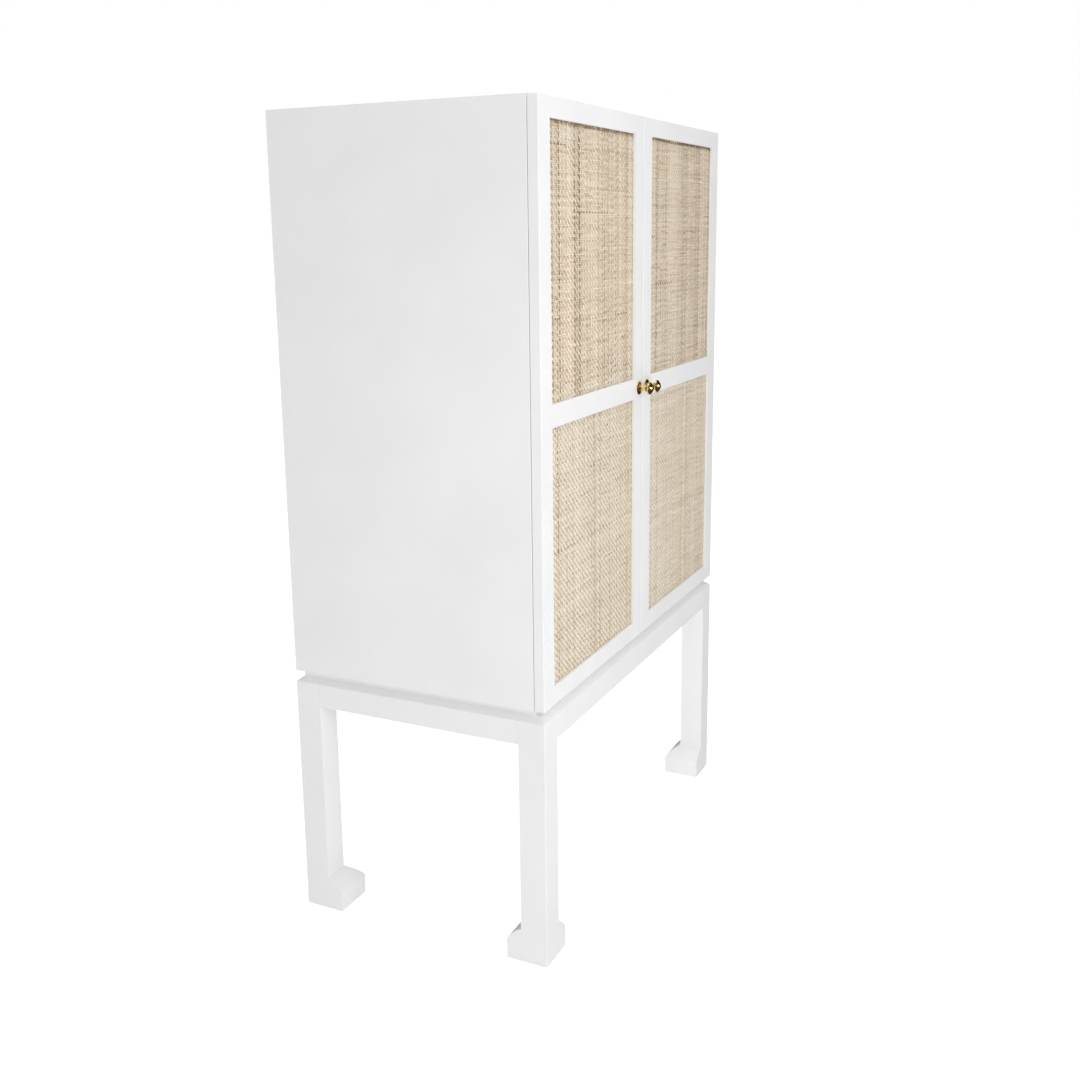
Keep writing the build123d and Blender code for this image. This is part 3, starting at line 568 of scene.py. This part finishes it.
WHITE = (1.0, 1.0, 1.0, 1.0)
SKY_COLOUR = (0.99, 0.99, 1.0, 1.0)
SKY_STRENGTH = 0.56
SKY_IN_GLOSS = 0.02  # the sky's strength as a mirror sees it
FLOOR_HALF = 60.0
FLOOR_GREY = 0.93
FLOOR_GREY_IN_GLOSS = 0.04
FLOOR_GLOW = 0.33  # light that the floor gives off, but not to a mirror
FLOOR_GLOW_SEEN = 0.25  # what the camera sees on top of that


def area_light(name, place, target, width, height, power):
    """A soft rectangular light that faces a target."""
    data = bpy.data.lights.new(name, "AREA")
    data.shape = "RECTANGLE"
    data.size = width
    data.size_y = height
    data.energy = power
    light = bpy.data.objects.new(name, data)
    light.location = place
    light.rotation_euler = (Vector(target) - Vector(place)).to_track_quat("-Z", "Y").to_euler()
    light.visible_camera = False
    bpy.context.scene.collection.objects.link(light)
    return light


def make_floor():
    """A plain pale floor, bright enough to meet the white background."""
    mesh = bpy.data.meshes.new("floor")
    half = FLOOR_HALF
    corners = [(-half, -half, 0), (half, -half, 0), (half, half, 0), (-half, half, 0)]
    mesh.from_pydata(corners, [], [(0, 1, 2, 3)])
    floor = bpy.data.objects.new("floor", mesh)
    bpy.context.scene.collection.objects.link(floor)
    material, tree, shader = new_material("floor_finish")
    path = add_node(tree, "ShaderNodeLightPath").outputs
    grey = spread(tree, path["Is Glossy Ray"], FLOOR_GREY, FLOOR_GREY_IN_GLOSS)
    set_inputs(tree, shader, {"Base Color": grey, "Roughness": 0.9, "Specular IOR Level": 0.1})
    seen = maths(tree, "MULTIPLY", path["Is Camera Ray"], FLOOR_GLOW_SEEN)
    mirrored = maths(tree, "MULTIPLY", path["Is Glossy Ray"], FLOOR_GLOW)
    glow = maths(tree, "SUBTRACT", maths(tree, "ADD", seen, FLOOR_GLOW), mirrored)
    set_inputs(tree, shader, {"Emission Color": WHITE, "Emission Strength": glow})
    mesh.materials.append(material)


def make_world():
    """White behind the object, and a softer sky for the light."""
    world = bpy.data.worlds.new("studio")
    bpy.context.scene.world = world
    world.use_nodes = True
    tree = world.node_tree
    tree.nodes.clear()
    seen = add_node(tree, "ShaderNodeBackground", inputs={"Color": WHITE, "Strength": 1.0})
    path = add_node(tree, "ShaderNodeLightPath")
    strength = spread(tree, path.outputs["Is Glossy Ray"], SKY_STRENGTH, SKY_IN_GLOSS)
    sky = add_node(tree, "ShaderNodeBackground", inputs={"Color": SKY_COLOUR, "Strength": strength})
    mix = add_node(tree, "ShaderNodeMixShader", inputs={0: path.outputs["Is Camera Ray"]})
    tree.links.new(sky.outputs[0], mix.inputs[1])
    tree.links.new(seen.outputs[0], mix.inputs[2])
    output = add_node(tree, "ShaderNodeOutputWorld")
    tree.links.new(mix.outputs[0], output.inputs["Surface"])


def make_studio():
    """High-key light: a soft key at the front, a fill on the left, one from above, and a glint.

    The key lights the cabinet without showing in its gloss, and the glint shows only in the gloss.
    """
    make_world()
    make_floor()
    key = area_light("key", (-1.1, -1.8, 1.1), (-0.1, -0.2, 0.6), width=1.2, height=1.2, power=13.2)
    key.visible_glossy = False
    area_light("fill", (-3.4, 0.6, 0.45), (-0.4, 0.0, 0.45), width=2.4, height=0.8, power=6.0)
    area_light("top", (-0.3, -0.9, 3.4), (0.0, 0.0, 1.0), width=1.6, height=1.6, power=23.0)
    front = (0.0, -0.25, 0.98)
    glint = area_light("glint", (0.25, -2.4, 1.15), front, width=0.8, height=0.8, power=13.0)
    glint.visible_diffuse = False
    bpy.context.scene.view_settings.view_transform = "Standard"


# ---- The scene ----

# Node, body, seed, streaks, how far the warp is paler than the weft, the middle shade, and the
# strength of the painted shadow of the frame's lip along the top edge
WOVEN_PANELS = (
    ("left_door_upper_weave", "left_door", 11, 1.4, 0.03, 0.59, 0.5),
    ("left_door_lower_weave", "left_door", 12, 1.25, 0.10, 0.71, 0.12),
    ("right_door_upper_weave", "right_door", 13, 1.4, 0.03, 0.62, 0.5),
    ("right_door_lower_weave", "right_door", 14, 1.25, 0.10, 0.74, 0.12),
)

make_camera()
make_studio()
materials = {slot: make() for slot, make in FINISHES.items()}
finish_cad_nodes(materials)
for panel in WOVEN_PANELS:
    woven_panel(*panel, materials["woven_rattan"])
brass = materials["polished_brass"]
for door in ("left_door", "right_door"):
    turned_piece(door + "_turned_knob", door, door + "_knob", knob_profile(), brass)
    turned_piece(door + "_turned_rosette", door, door + "_rosette", rosette_profile(), brass)
